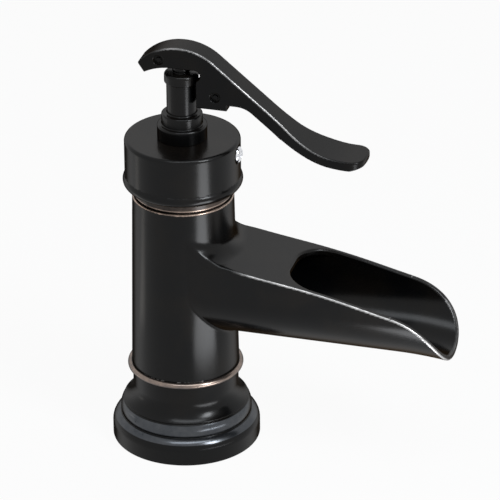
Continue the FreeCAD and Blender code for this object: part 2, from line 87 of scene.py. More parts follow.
def new_piece(name, points, faces, outs, rub):
    """Mesh object with its own normals, and how far it is rubbed through at each point."""
    mesh = bpy.data.meshes.new(name)
    mesh.from_pydata(points, [], faces)
    mesh.validate()
    mesh.polygons.foreach_set("use_smooth", [True] * len(mesh.polygons))
    mesh.normals_split_custom_set_from_vertices(outs)
    rubbed = mesh.attributes.new("rubbed", "FLOAT", "POINT")
    rubbed.data.foreach_set("value", np.asarray(rub, np.float32))
    piece = bpy.data.objects.new(name, mesh)
    bpy.context.scene.collection.objects.link(piece)
    return piece


def turned(name, corners, closed=False, around=160):
    """Piece turned about the Z axis from a profile of (r, z, corner radius, wear)."""
    points, outs, worn, rings = [], [], [], []
    for spot, out, wear in rounded(corners, closed):
        turns = around if spot.x > 1e-7 else 1
        rings.append([len(points) + k % turns for k in range(around)])
        for k in range(turns):
            c = math.cos(2 * math.pi * k / around)
            s = math.sin(2 * math.pi * k / around)
            points.append((spot.x * c, spot.x * s, spot.y))
            outs.append((out.x * c, out.x * s, out.y))
            worn.append(wear)
    faces = []
    for low, high in zip(rings, rings[1:] + (rings[:1] if closed else [])):
        for k in range(around):
            n = (k + 1) % around
            corner = (low[k], low[n], high[n], high[k])
            faces.append(tuple(dict.fromkeys(corner)))
    return new_piece(name, points, faces, outs, worn)


class Wire:
    """An output in a finish's node tree. Sums on it become Math nodes."""

    def __init__(self, tree, socket=None):
        self.tree = tree
        self.socket = socket

    def node(self, kind, settings=None, inputs=None, output=0):
        made = self.tree.nodes.new(kind)
        for key, value in (settings or {}).items():
            setattr(made, key, value)
        for key, value in (inputs or {}).items():
            if isinstance(value, Wire):
                self.tree.links.new(value.socket, made.inputs[key])
            else:
                made.inputs[key].default_value = value
        return Wire(self.tree, made.outputs[output] if made.outputs else None)

    def sum(self, operation, first, second):
        return self.node("ShaderNodeMath", {"operation": operation}, {0: first, 1: second})

    def __add__(self, other):
        return self.sum("ADD", self, other)

    def __sub__(self, other):
        return self.sum("SUBTRACT", self, other)

    def __rsub__(self, other):
        return self.sum("SUBTRACT", other, self)

    def __mul__(self, other):
        return self.sum("MULTIPLY", self, other)

    __radd__ = __add__
    __rmul__ = __mul__

    def eased(self, low, high):
        return self.node("ShaderNodeMapRange", {"interpolation_type": "SMOOTHSTEP"},
                         {"Value": self, "From Min": low, "From Max": high})

    def tint(self, first, second):
        """Colour that goes from first to second as this goes from 0 to 1."""
        return self.node("ShaderNodeMix", {"data_type": "RGBA"}, {0: self, 6: first, 7: second}, 2)

    def noise(self, scale, detail=3.0, roughness=0.55):
        return self.node("ShaderNodeTexNoise", {},
                         {"Vector": self, "Scale": scale, "Detail": detail, "Roughness": roughness})

    def stretched(self, *scale):
        return self.node("ShaderNodeMapping", {}, {"Vector": self, "Scale": scale})

    def relief(self, strength, distance):
        """Normal of a surface with this as its height."""
        return self.node("ShaderNodeBump", {}, {"Height": self, "Strength": strength, "Distance": distance})


def new_finish(name):
    """Empty material, and its object coordinates to start from."""
    material = bpy.data.materials.new(name)
    material.use_nodes = True
    tree = material.node_tree
    tree.nodes.clear()
    place = Wire(tree).node("ShaderNodeTexCoord", output=3)
    return material, place


def lay_on(place, settings, painted_grazing_shade=None, painted_grazing_colour=(0, 0, 0, 1)):
    """Ends a finish with its Principled shader, set or linked by socket name. The last two arguments
    are how far a matt colour covers it and that colour, a painted reflection and shade."""
    shader = place.node("ShaderNodeBsdfPrincipled", {}, settings)
    if painted_grazing_shade is not None:
        painted_grazing_shader = place.node("ShaderNodeBsdfDiffuse", {}, {"Color": painted_grazing_colour})
        shader = place.node("ShaderNodeMixShader", {}, {0: painted_grazing_shade, 1: shader, 2: painted_grazing_shader})
    place.node("ShaderNodeOutputMaterial", {}, {"Surface": shader})


def rubbed_bronze(name, bare=0.0, burnished_below=0.0, lacquer_ior=1.265, sheen_by=1.0):
    """Near-black patina under lacquer, rubbed back to copper where the piece is worn, or to pale
    metal below burnished_below. Bare is how far it is rubbed all over, and sheen_by how far it
    has to be rubbed to shine as metal does."""
    black = (0.0016, 0.0017, 0.0019, 1)
    cloudy = (0.0040, 0.0033, 0.0027, 1)
    # Painted dark brown reflection and shade, laid over the finish at grazing angles
    painted_grazing_brown = (0.0130, 0.0085, 0.0050, 1)
    copper = (0.60, 0.45, 0.36, 1)
    pale = (0.60, 0.585, 0.57, 1)
    # Grey metal where lightly rubbed; on the base's shoulders it is partly a painted highlight
    gunmetal = (0.041, 0.046, 0.053, 1)
    material, place = new_finish(name)
    clouds = place.noise(45.0, 4.0)
    grain = place.noise(1400.0, 2.0)
    patches = place.noise(160.0, 5.0, 0.65)
    edge = place.node("ShaderNodeAttribute", {"attribute_name": "rubbed"}, output=2)
    rub = ((edge * 0.85 + bare) * (patches * 0.8 + grain * 0.25 + 0.13)).eased(0.05, 0.9)
    sheen = rub.eased(0.0, sheen_by)
    height = place.node("ShaderNodeSeparateXYZ", {}, {0: place}, 2)
    under = height.eased(burnished_below - 0.0005, burnished_below + 0.0005).tint(pale, copper)
    # More of the painted brown reflection and shade at grazing angles, less where rubbed
    aslant = place.node("ShaderNodeLayerWeight", {}, {"Blend": 0.35}, 1)
    patina = sheen.tint(clouds.eased(0.42, 0.72).tint(black, cloudy), gunmetal)
    ripple = place.noise(420.0, 2.0)
    lay_on(place, {
        "Base Color": rub.tint(patina, under),
        "Metallic": sheen * 0.9,
        "Roughness": clouds * 0.06 + grain * 0.03 + rub * 0.06 + 0.165,
        "Normal": ripple.relief(0.03, 0.0004),
        "IOR": lacquer_ior,
    }, aslant.eased(0.36, 0.66) * (0.97 - rub * 0.7), painted_grazing_brown)
    return material


foot_r, foot_z = 0.0235, 0.0364
shank_hole_r = 0.0201
base_r, recess_in_r, recess_out_r, recess_z = 0.0324, 0.0235, 0.0290, 0.0016
bell_r, bead_z, bead_r = 0.0231, 0.0336, 0.0253
base_flange = turned("base_flange_turned", [
    (shank_hole_r, 0, 0.0002), (recess_in_r, 0, 0.0002), (recess_in_r, recess_z, 0.0001),
    (recess_out_r, recess_z, 0.0001), (recess_out_r, 0, 0.0002), (base_r, 0, 0.0008),
    # The shoulders' wear of 0.26 gives a grey metal sheen: partly a guessed burnish, partly a painted
    # highlight
    (base_r, 0.0081, 0.0053), (0.0305, 0.0108, 0.0053, 0.26), (0.0285, 0.0116, 0.0003),
    (0.0292, 0.0150, 0.0066, 0.26), (0.0277, 0.0174, 0.0004), (0.0271, 0.0178, 0.0001),
    (0.0275, 0.0183, 0.0003), (bell_r, 0.0212, 0.0091), (bell_r, bead_z, 0.0004),
    (bead_r, bead_z, 0.0014, 0.4), (bead_r, foot_z, 0.0014, 0.65), (shank_hole_r, foot_z, 0.0002),
], closed=True)
base_flange.data.materials.append(rubbed_bronze("flange_bronze", burnished_below=0.03, sheen_by=0.025))
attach(base_flange, "base")
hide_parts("base_flange")


# Deck gasket and flange ring. The gasket is stamped from black rubber sheet and lies in the
# recess under the flange. The ring is moulded, and sits round the shank at the foot of the
# column, where it keeps water out.

def dress(finish, *names):
    """Puts a finish on pieces that keep their shape from the solid model."""
    for name in names:
        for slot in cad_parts[name].material_slots:
            slot.material = finish


def moulded_rubber(name):
    """Black rubber, a little dusty with bloom."""
    material, place = new_finish(name)
    bloom = place.noise(220.0, 4.0)
    grit = place.noise(2600.0, 2.0)
    lay_on(place, {
        "Base Color": bloom.eased(0.4, 0.75).tint((0.010, 0.010, 0.011, 1), (0.032, 0.031, 0.030, 1)),
        "Roughness": bloom * 0.2 + grit * 0.1 + 0.45,
        "Normal": grit.relief(0.1, 0.0002),
    })
    return material


rubber = moulded_rubber("rubber")
dress(rubber, "deck_gasket", "flange_oring")


# Casting. The column and the trough spout are one brass casting, filed and polished, with a
# fillet round the spout's root. The spout is open on top in front of a short roof.

def edge_rounded(first, second, radius):
    """Distance for what is inside both, with the edge between them rounded."""
    a = first + radius
    b = second + radius
    return np.minimum(np.maximum(a, b), 0) + np.hypot(np.maximum(a, 0), np.maximum(b, 0)) - radius


def skin(name, distance, touched, low, high, cell):
    """Piece with quads over a form's surface, between two corners of space. Distance is below 0
    inside the form, and touched is 1 where its edges are rubbed."""
    axes = [np.arange(a, b + cell, cell) for a, b in zip(low, high)]
    d = distance(*np.meshgrid(*axes, indexing="ij", sparse=True))
    inside = d < 0

    # One point in each cell that the surface passes through
    nx, ny, nz = d.shape
    corners = [(i, j, k) for i in (0, 1) for j in (0, 1) for k in (0, 1)]
    count = sum(inside[i:nx - 1 + i, j:ny - 1 + j, k:nz - 1 + k].astype(np.int8) for i, j, k in corners)
    cells = np.argwhere((count > 0) & (count < 8))
    number = np.full((nx - 1, ny - 1, nz - 1), -1)
    number[tuple(cells.T)] = np.arange(len(cells))
    total = np.zeros((len(cells), 3))
    hits = np.zeros(len(cells))
    for a in corners:
        for axis in range(3):
            if a[axis]:
                continue
            b = list(a)
            b[axis] = 1
            d0 = d[tuple((cells + a).T)]
            d1 = d[tuple((cells + b).T)]
            cross = (d0 < 0) != (d1 < 0)
            share = np.where(cross, d0 / np.where(cross, d0 - d1, 1), 0)
            spot = cells + np.array(a, float)
            spot[:, axis] += share
            total += spot * cross[:, None]
            hits += cross
    points = np.array(low) + total / hits[:, None] * cell

    def slope(p, h):
        steps = h * np.eye(3)
        return np.stack([distance(*(p + s).T) - distance(*(p - s).T) for s in steps], 1) / (2 * h)

    # The points are drawn onto the surface
    nudge = cell * 0.02
    for _ in range(4):
        lean = slope(points, nudge)
        points -= lean * (distance(*points.T) / np.maximum((lean ** 2).sum(1), 0.25))[:, None]
    outs = slope(points, nudge)
    outs /= np.linalg.norm(outs, axis=1)[:, None]

    # Sharp outer edges, where the finish is rubbed
    span, edge_bend = 0.0004, 600.0
    bend = sum(distance(*(points + s).T) + distance(*(points - s).T) for s in span * np.eye(3))
    bend = (bend - 6 * distance(*points.T)) / span ** 2
    worn = np.clip(bend / edge_bend - 1, 0, 1) * touched(*points.T)

    # A quad round each edge of the grid that the surface cuts
    quads = []
    for axis in range(3):
        others = [i for i in range(3) if i != axis]
        turn = [slice(1, -1)] * 3
        turn[axis] = slice(0, -1)
        ahead = [slice(1, -1)] * 3
        ahead[axis] = slice(1, None)
        leaving = inside[tuple(turn)] & ~inside[tuple(ahead)]
        entering = ~inside[tuple(turn)] & inside[tuple(ahead)]
        u, v = np.eye(3, dtype=int)[others]
        for found, order in ((leaving, 1), (entering, -1)):
            edge = np.argwhere(found) + 1
            edge[:, axis] -= 1
            ring = [number[tuple((edge - o).T)] for o in (u + v, v, 0 * u, u)]
            if axis == 1:
                order = -order
            quads.append(np.stack(ring[::order], 1))
    return new_piece(name, points.tolist(), np.concatenate(quads).tolist(), outs.tolist(), worn)


column_top_r, column_top_z = 0.022, 0.1173
column_edge, bore_edge = 0.0006, 0.0003
shank_r, shank_top_z = 0.02, 0.04
spout_reach, spout_half_width, spout_wall = 0.121, 0.0212, 0.0027
spout_centre_z = 0.0561 + spout_half_width
spout_slope = math.radians(11.36)
spout_top_z = 0.0992
lip_reach, lip_r = 0.0970, 0.0300
lip_droop, droop_reach = 0.0016, 0.098
rim_bow, bow_reach, bow_half = 0.0011, 0.066, 0.036
slot_reach, slot_corner_r = 0.0495, 0.014
trough_back = 0.024
root_r, corner_root_r, side_root_r = 0.0065, 0.0086, 0.0022
root_corner, root_corner_run = 0.008, 0.012
rim_r, root_rim_r = 0.0009, 0.0040
root_rim_reach, root_rim_run = 0.042, 0.026
rubbed_half_width, rubbed_lip_reach, rubbed_top_z = 0.0192, 0.112, 0.116
steepest_cos = 0.98
chamber_r, chamber_z = 0.0176, 0.0973
nut_bore_r, nut_bore_z = 0.019, 0.1083


def round_bottomed(x, reach, z, half_width):
    """Distance from an upright U along the spout. It droops a little at the lip."""
    droop = np.clip((reach - droop_reach) / (spout_reach - droop_reach), 0, 1)
    up = z - spout_centre_z + lip_droop * droop * droop
    return np.where(up > 0, np.abs(x), np.hypot(x, up)) - half_width


def spout_top(reach, z):
    """Distance above the spout's sloping top and the scoop of its lip, seen from the side."""
    c, s = math.cos(spout_slope), math.sin(spout_slope)
    start_z = spout_top_z - lip_reach * math.tan(spout_slope)
    along = (reach - lip_reach) * c - (z - start_z) * s
    above = (reach - lip_reach) * s + (z - start_z) * c
    bow = 1 - np.clip((reach - bow_reach) / bow_half, -1, 1) ** 2
    return np.where(along > 0, np.hypot(along, above + lip_r) - lip_r, above - rim_bow * bow * bow)


def filleted(first, second, angle_cos, radius):
    """Distance for both together, with the root filled as by a ball of this radius. Also how
    much that surface faces the way of each of the two."""
    u, v = radius - first, radius - second
    sine = 1 - angle_cos ** 2
    away = np.sqrt(np.maximum(u * u + v * v - 2 * angle_cos * u * v, 1e-16) / sine)
    between = (u > angle_cos * v) & (v > angle_cos * u)
    plain = np.minimum(first, second)
    joined = np.where(between, np.minimum(radius - away, plain), plain)
    first_share = np.where(between, (u - angle_cos * v) / (away * sine), first < second)
    second_share = np.where(between, (v - angle_cos * u) / (away * sine), first >= second)
    return joined, first_share, second_share


def casting(x, y, z):
    across = np.hypot(x, y)
    taper = (z - foot_z) / (column_top_z - foot_z)
    column = across - foot_r - (column_top_r - foot_r) * taper
    column = np.maximum(column, foot_z - z)
    walls = np.maximum(round_bottomed(x, -y, z, spout_half_width), y)
    top = spout_top(-y, z)

    # The top runs up into the column, the sides run into it, and the edge between the two is
    # rounded, more so near the column
    lean = np.hypot(x, np.minimum(z - spout_centre_z, 0)) + 1e-9
    side_cos = np.clip(x * x / (across * lean + 1e-9), 0, steepest_cos)
    roof_cos = np.clip(-y * math.sin(spout_slope) / (across + 1e-9), 0, steepest_cos)
    corner = np.clip((np.abs(x) - root_corner) / root_corner_run, 0, 1)
    corner = corner * corner * (3 - 2 * corner)
    roof_root_r = root_r + (corner_root_r - root_r) * corner
    upper, up_column, up_roof = filleted(column, top, roof_cos, roof_root_r)
    side, side_column, side_wall = filleted(column, walls, side_cos, side_root_r)
    edge_cos = up_column * (side_column + side_wall * side_cos) + up_roof * side_column * roof_cos
    near = np.clip((root_rim_reach + y) / root_rim_run, 0, 1)
    rim = rim_r + (root_rim_r - rim_r) * near ** 3
    form = -filleted(-upper, -side, np.clip(edge_cos, 0, steepest_cos), rim)[0]

    # The column's flat top, the shank below, and the chamber for the cartridge and its nut
    form = edge_rounded(form, z - column_top_z, column_edge)
    form = np.minimum(form, np.maximum(across - shank_r, z - shank_top_z))
    form = np.maximum(form, -z)
    chamber = np.maximum(across - chamber_r, chamber_z - z)
    nut_bore = np.maximum(across - nut_bore_r, nut_bore_z - z)
    form = edge_rounded(form, -np.minimum(chamber, nut_bore), bore_edge)

    # The trough, under the roof first and then open from the slot to the lip
    in_half_width = spout_half_width - spout_wall
    plan_x = np.abs(x) - (in_half_width - slot_corner_r)
    plan_y = slot_reach + slot_corner_r + y
    slot = np.hypot(np.maximum(plan_x, 0), np.maximum(plan_y, 0)) - slot_corner_r
    slot = slot + np.minimum(np.maximum(plan_x, plan_y), 0)
    open_top = np.minimum(top + spout_wall, slot)
    channel = np.maximum(round_bottomed(x, -y, z, in_half_width), trough_back + y)
    trough = np.maximum(channel, open_top)
    return edge_rounded(form, -trough, rim_r)


def casting_touched(x, y, z):
    """1 on the spout's outer edges and at the column's top."""
    return (np.abs(x) > rubbed_half_width) | (y < -rubbed_lip_reach) | (z > rubbed_top_z)


body = skin("faucet_body_cast", casting, casting_touched,
            (-0.0241, -0.1219, -0.0008), (0.0241, 0.0241, 0.118), cell=0.00052)
body.data.materials.append(rubbed_bronze("cast_bronze", burnished_below=0.115))
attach(body, "base")
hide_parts("faucet_body")


# Cartridge base, housing and port seals. White acetal, moulded. The base stands in the bottom of
# the column's chamber on three rubber seals, and the housing snaps over it and holds the discs.

def moulded_plastic(name, colour, flow_colour):
    """Matt plastic with faint flow marks from the mould."""
    material, place = new_finish(name)
    flow = place.stretched(1.0, 1.0, 0.3).noise(260.0, 3.0)
    grain = place.noise(3200.0, 2.0)
    lay_on(place, {
        "Base Color": flow.eased(0.35, 0.7).tint(colour, flow_colour),
        "Roughness": flow * 0.1 + grain * 0.12 + 0.3,
        "Normal": grain.relief(0.05, 0.0002),
    })
    return material


white_plastic = moulded_plastic("white_plastic", (0.74, 0.73, 0.70, 1), (0.66, 0.65, 0.62, 1))
dress(rubber, "port_seals")
dress(white_plastic, "cartridge_base", "cartridge_housing")


# Ceramic discs. Fired alumina, lapped flat on the faces that meet. The lower one is keyed to the
# base, and the upper one slides and turns on it to mix and shut off the water.

def lapped_ceramic(name):
    """Ivory ceramic with fine specks, glossier between them."""
    material, place = new_finish(name)
    cloud = place.noise(180.0, 3.0)
    specks = place.noise(4200.0, 2.0)
    body_colour = cloud.eased(0.3, 0.7).tint((0.80, 0.77, 0.71, 1), (0.72, 0.69, 0.63, 1))
    lay_on(place, {
        "Base Color": specks.eased(0.62, 0.72).tint(body_colour, (0.56, 0.53, 0.49, 1)),
        "Roughness": specks.eased(0.5, 0.75) * 0.2 + 0.12,
        "Normal": specks.relief(0.03, 0.0001),
    })
    return material


alumina = lapped_ceramic("alumina")
dress(alumina, "fixed_disc", "moving_disc")


# Disc carrier and rotor. Grey acetal with glass in it, moulded. The carrier clips on the moving
# disc, and the rotor turns in the housing's neck and carries the stem.

grey_plastic = moulded_plastic("grey_plastic", (0.20, 0.21, 0.22, 1), (0.14, 0.145, 0.155, 1))
dress(grey_plastic, "disc_carrier", "cartridge_rotor")


# Pivot pin. A length of ground steel rod through the rotor. The stem rocks on it when the lever
# is lifted.

def ground_steel(name):
    """Bright steel with the fine marks of the wheel."""
    material, place = new_finish(name)
    marks = place.stretched(6.0, 1.0, 6.0).noise(900.0, 3.0)
    stains = place.noise(320.0, 4.0)
    lay_on(place, {
        "Base Color": stains.eased(0.45, 0.75).tint((0.60, 0.61, 0.62, 1), (0.44, 0.44, 0.44, 1)),
        "Metallic": 1.0,
        "Roughness": marks * 0.16 + stains * 0.08 + 0.14,
        "Normal": marks.relief(0.08, 0.0001),
    })
    return material


steel = ground_steel("steel")
dress(steel, "pivot_pin")


# Stem and retaining nut. Both are cut from brass bar and left bare. The stem has a ball below
# that drives the carrier and a square above for the cap, and the nut holds the cartridge down.

def machined_brass(name):
    """Bare brass with turning lines and brown tarnish."""
    material, place = new_finish(name)
    lines = place.stretched(1.0, 1.0, 9.0).noise(700.0, 2.0)
    tarnish = place.noise(150.0, 5.0, 0.6)
    lay_on(place, {
        "Base Color": tarnish.eased(0.42, 0.75).tint((0.74, 0.54, 0.26, 1), (0.46, 0.30, 0.14, 1)),
        "Metallic": 1.0,
        "Roughness": lines * 0.14 + tarnish * 0.16 + 0.14,
        "Normal": lines.relief(0.08, 0.0001),
    })
    return material


plain_brass = machined_brass("plain_brass")
dress(plain_brass, "cartridge_stem", "retaining_nut")


# Trim ring. A turned brass ring that stands on the column and hides the cartridge's nut. The
# cap's skirt rubs it, so it is more copper than black.

trim_in_r, trim_foot_r, trim_r = 0.01858, 0.0206, 0.0212
trim_step_z, trim_top_z = 0.1181, 0.1219
trim_ring = turned("trim_ring_turned", [
    (trim_in_r, column_top_z, 0.0002), (trim_foot_r, column_top_z, 0.0002),
    (trim_foot_r, trim_step_z, 0.0002), (trim_r, trim_step_z, 0.0003, 0.6),
    (trim_r, trim_top_z, 0.0008, 0.5), (trim_in_r, trim_top_z, 0.0002),
], closed=True)
trim_ring.data.materials.append(rubbed_bronze("rubbed_copper", bare=0.3))
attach(trim_ring, "base")
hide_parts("trim_ring")


# Handle cap. A spun brass cup with a bead round its mouth, which covers the cartridge and carries
# the lever. A hub inside sits on the cartridge's stem.

cap_in_r, cap_r, cap_rim_z, cap_top_z = 0.023, 0.025, 0.1222, 0.1442
cap_roof_z, cap_edge_r = cap_top_z - 0.002, 0.0015
bead_middle, bead_round = (0.02317, 0.12469), 0.00271
hub_r, hub_z = 0.008, 0.1275
socket_half, socket_z = 0.0041, 0.1415
screw_z, screw_seat, screw_hole_r, screw_boss_r = 0.1386, 0.0223, 0.004, 0.0052
mouth_edge, screw_hole_edge = 0.0003, 0.0004
rubbed_bead_z, rubbed_bead_r = 0.1232, 0.0238


def cap_form(x, y, z):
    across = np.hypot(x, y)
    cup = edge_rounded(across - cap_r, z - cap_top_z, cap_edge_r)
    cup = np.maximum(cup, bead_middle[1] - z)
    bead = np.hypot(across - bead_middle[0], z - bead_middle[1]) - bead_round
    cup = np.maximum(np.minimum(cup, bead), cap_rim_z - z)
    hollow = np.maximum(across - cap_in_r, z - cap_roof_z)
    from_screw = np.hypot(x, z - screw_z)
    hub = np.maximum(across - hub_r, hub_z - z)
    boss = np.maximum(from_screw - screw_boss_r, y)
    hollow = np.maximum(hollow, -np.minimum(hub, boss))
    form = edge_rounded(cup, -hollow, mouth_edge)
    socket = np.maximum(np.maximum(np.abs(x), np.abs(y)) - socket_half, z - socket_z)
    form = np.maximum(form, -socket)
    hole = np.maximum(from_screw - screw_hole_r, screw_seat + y)
    return edge_rounded(form, -hole, screw_hole_edge)


def cap_touched(x, y, z):
    """Part of 1 under the bead, which rubs the trim ring."""
    return 0.5 * (z < rubbed_bead_z) * (np.hypot(x, y) > rubbed_bead_r)


dark_bronze = rubbed_bronze("dark_bronze")
handle_cap = skin("handle_cap_spun", cap_form, cap_touched,
                  (-0.0265, -0.0265, 0.1215), (0.0265, 0.0265, 0.145), cell=0.0005)
handle_cap.data.materials.append(dark_bronze)
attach(handle_cap, "handle")
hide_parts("handle_cap")


# Cap screw. A pan-head machine screw with a cross recess, chrome plated. Its tip clamps the
# cartridge's stem in the cap's hub.

screw_head_r, screw_end, screw_dome, screw_r = 0.0035, 0.0267, 0.0014, 0.0024
screw_head_edge, shank_lap = 0.0004, 0.001
cross_reach, cross_half, cross_depth, cross_taper, cross_edge = 0.0021, 0.00045, 0.0013, 0.25, 0.0001


def screw_form(x, y, z):
    reach, from_axis = -y, np.hypot(x, z - screw_z)
    dome_r = (screw_head_r ** 2 + screw_dome ** 2) / (2 * screw_dome)
    dome = np.hypot(from_axis, reach - screw_end + dome_r) - dome_r
    head = edge_rounded(dome, from_axis - screw_head_r, screw_head_edge)
    head = np.maximum(head, screw_seat - reach)
    shank_ends = np.maximum(reach - screw_seat - shank_lap, socket_half - reach)
    shank = np.maximum(from_axis - screw_r, shank_ends)
    across, up = np.abs(x), np.abs(z - screw_z)
    level = np.maximum(across - cross_reach, up - cross_half)
    upright = np.maximum(across - cross_half, up - cross_reach)
    cross = np.minimum(level, upright) + cross_taper * (screw_end - reach)
    cross = np.maximum(cross, screw_end - cross_depth - reach)
    return edge_rounded(np.minimum(head, shank), -cross, cross_edge)


def never_touched(x, y, z):
    return 0.0 * x


def chrome_plate(name):
    """Bright plating with fine turning lines and a few dull spots."""
    material, place = new_finish(name)
    spots = place.noise(900.0, 4.0)
    lines = place.stretched(1.0, 8.0, 1.0).noise(2500.0, 2.0)
    lay_on(place, {
        "Base Color": spots.eased(0.35, 0.7).tint((0.62, 0.63, 0.66, 1), (0.78, 0.79, 0.81, 1)),
        "Metallic": 1.0,
        "Roughness": spots * 0.12 + lines * 0.08 + 0.06,
        "Normal": lines.relief(0.06, 0.0002),
    })
    return material


cap_screw = skin("cap_screw_turned", screw_form, never_touched,
                 (-0.004, -0.0271, 0.1346), (0.004, -0.0037, 0.1426), cell=0.00025)
cap_screw.data.materials.append(chrome_plate("chrome"))
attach(cap_screw, "handle")
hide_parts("cap_screw")


# Lever post. A turned brass post with a stepped foot and a collar, held on the cap by a screw
# from inside. The lever sits on its neck.

lever_z = 0.178
post_foot_r, post_foot_z, post_step_r, post_step_z = 0.01075, 0.1507, 0.00886, 0.1558
post_r, collar_r, collar_z, collar_top_z = 0.0065, 0.0074, 0.1702, 0.1748
neck_r, neck_z, neck_top_z = 0.0038, 0.1750, lever_z + 0.003
lever_post = turned("lever_post_turned", [
    (0, cap_top_z, 0.0002), (post_foot_r, cap_top_z, 0.0003), (post_foot_r, post_foot_z, 0.0009),
    (post_step_r, post_foot_z, 0.0004), (post_step_r, post_step_z, 0.0008), (post_r, post_step_z, 0.0006),
    (post_r, collar_z, 0.0002), (collar_r, collar_z, 0.0006), (collar_r, collar_top_z, 0.0014),
    (neck_r, neck_z, 0.0004), (neck_r, neck_top_z, 0.0002), (0, neck_top_z, 0.0002),
])
lever_post.data.materials.append(dark_bronze)
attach(lever_post, "handle")
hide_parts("lever_post")


# Post screw. A countersunk steel screw, put in from inside the cap through its roof. It draws the
# post down on the cap.

dress(steel, "post_screw")


# Pump lever. A cast brass bar, bent over the post like an old pump's handle, with a flat web
# under it and a flared grip. Blind dimples on its sides stand for the pump's rivets.

crest, crest_r = (0.0005, -0.0144), 0.024
bar_slope = math.radians(39.5)
bar_thick = 0.0058
grip_r, grip_thick, grip_tip, grip_flat = 0.042, 0.0041, 0.0024, 0.0064
lever_reach, grip_half_width, lever_half_width = 0.0818, 0.0094, 0.0054
flare_start, flare_run, grip_corner_r, grip_end_bow = 0.040, 0.027, 0.0048, 0.0016
nose_length, nose_full = 0.007, 0.0003
web_reach, web_drop, web_step, web_fillet_r = 0.0214, 0.0172, 0.0026, 0.011
web_in, under_neck = 0.0079, 0.0043
notch_reach, notch_drop = 0.0097, 0.0050
tail_reach, tail_angle = 0.0178, math.radians(56)
dimples = ((-0.0086, 0.0031), (0.0162, -0.0115))
dimple_r, dimple_depth, dimple_edge = 0.0022, 0.0012, 0.0003
pin_r, pin_sunk = 0.0012, 0.0005
hollow_centre, hollow_r = (-0.0029, -0.02496), 0.025
top_edge, side_edge = 0.0007, 0.0004
rubbed_depth = 0.0016
rubbed_grip_reach, rubbed_grip_run = 0.08, 0.03
rubbed_tail_reach, rubbed_tail_run = 0.014, 0.01

bar_out = (math.sin(bar_slope), math.cos(bar_slope))
bar_on = (math.cos(bar_slope), -math.sin(bar_slope))
bar_start = (crest[0] + crest_r * bar_out[0], crest[1] + crest_r * bar_out[1])
bar_end_reach = lever_reach - grip_flat - grip_r * bar_out[0]
bar_length = (bar_end_reach - bar_start[0]) / bar_on[0]
bar_end = (bar_end_reach, bar_start[1] + bar_length * bar_on[1])
grip = (bar_end[0] + grip_r * bar_out[0], bar_end[1] + grip_r * bar_out[1])
under_r = grip_r + (bar_thick - grip_thick * bar_out[1]) / (1 - bar_out[1])
under = (grip[0], grip[1] - grip_r - grip_thick + under_r)
step_rise = web_step - web_drop
bar_low = (bar_start[0] - bar_thick * bar_out[0], bar_start[1] - bar_thick * bar_out[1])
web_fillet_rise = step_rise + web_fillet_r * (bar_out[1] - 1)
web_fillet_reach = bar_low[0] + (bar_low[1] - web_fillet_rise) * bar_on[0] / -bar_on[1]
web_fillet = (web_fillet_reach - web_fillet_r * bar_out[0], step_rise - web_fillet_r)
tail = (-tail_reach, crest[1] + math.sqrt(crest_r ** 2 - (tail_reach + crest[0]) ** 2))
tip_rise = grip[1] - grip_r
nose_reach = lever_reach - nose_length
nose_rise = tip_rise - grip_thick


def past(reach, rise, point, out):
    """Distance past a straight edge through a point."""
    return (reach - point[0]) * out[0] + (rise - point[1]) * out[1]


def from_centre(reach, rise, centre):
    return np.hypot(reach - centre[0], rise - centre[1])


def lever_top(reach, rise):
    """Distance above the crest, the bar and the grip, seen from the side."""
    along = past(reach, rise, bar_start, bar_on)
    above = past(reach, rise, bar_start, bar_out)
    above = np.where(along < 0, from_centre(reach, rise, crest) - crest_r, above)
    above = np.where(along > bar_length, grip_r - from_centre(reach, rise, grip), above)
    return np.where(reach > grip[0], rise - tip_rise, above)


def lever_under(reach, rise):
    """Distance below the web's step, the bar and the grip, seen from the side."""
    along = past(reach, rise, bar_start, bar_on)
    below = -past(reach, rise, bar_low, bar_out)
    below = np.where(along > bar_length, from_centre(reach, rise, under) - under_r, below)
    below = np.where(reach > under[0], nose_rise - rise, below)
    turn = past(reach, rise, web_fillet, bar_on)
    below = np.where(turn < 0, web_fillet_r - from_centre(reach, rise, web_fillet), below)
    below = np.where(reach < web_fillet[0], step_rise - rise, below)
    web = np.maximum(-web_drop - rise, reach - web_reach)
    return np.minimum(below, web)


def lever(x, y, z):
    reach, rise = -y, z - lever_z
    # From above: parallel sides, then a flare to the blunt grip
    wider = np.clip((reach - flare_start) / flare_run, 0, 1)
    wider = wider * wider * (3 - 2 * wider)
    half_width = lever_half_width + (grip_half_width - lever_half_width) * wider
    end = reach - lever_reach + grip_end_bow * (x / grip_half_width) ** 2
    plan = edge_rounded(np.abs(x) - half_width, end, grip_corner_r)
    # From the side: what is left between the top and the underside, less the post's room
    tail_end = past(reach, rise, tail, (-math.sin(tail_angle), -math.cos(tail_angle)))
    nose_lift = tip_rise - grip_tip - nose_rise
    nose_run = math.hypot(nose_length, nose_lift)
    nose_out = (nose_lift / nose_run, -nose_length / nose_run)
    nose = past(reach, rise, (nose_reach, nose_rise), nose_out) - nose_full
    room = np.maximum(np.maximum(rise, reach - web_in), -under_neck - reach)
    notch_half = notch_drop / 2
    notch_in = notch_reach - web_in
    notch_r = (notch_half ** 2 + notch_in ** 2) / (2 * notch_in)
    notch = from_centre(reach, rise, (notch_reach - notch_r, -notch_half)) - notch_r
    hollow = np.maximum(from_centre(reach, rise, hollow_centre) - hollow_r, reach + under_neck)
    under_side = np.maximum(lever_under(reach, rise), -np.minimum(np.minimum(room, notch), hollow))
    side = np.maximum(np.maximum(under_side, tail_end), nose)
    form = edge_rounded(lever_top(reach, rise), plan, top_edge)
    form = edge_rounded(form, side, side_edge)
    for dimple in dimples:
        from_dimple = from_centre(reach, rise, dimple)
        hole = np.maximum(from_dimple - dimple_r, lever_half_width - dimple_depth - np.abs(x))
        pin = np.maximum(from_dimple - pin_r, np.abs(x) - lever_half_width + pin_sunk)
        form = np.minimum(edge_rounded(form, -hole, dimple_edge), pin)
    return form


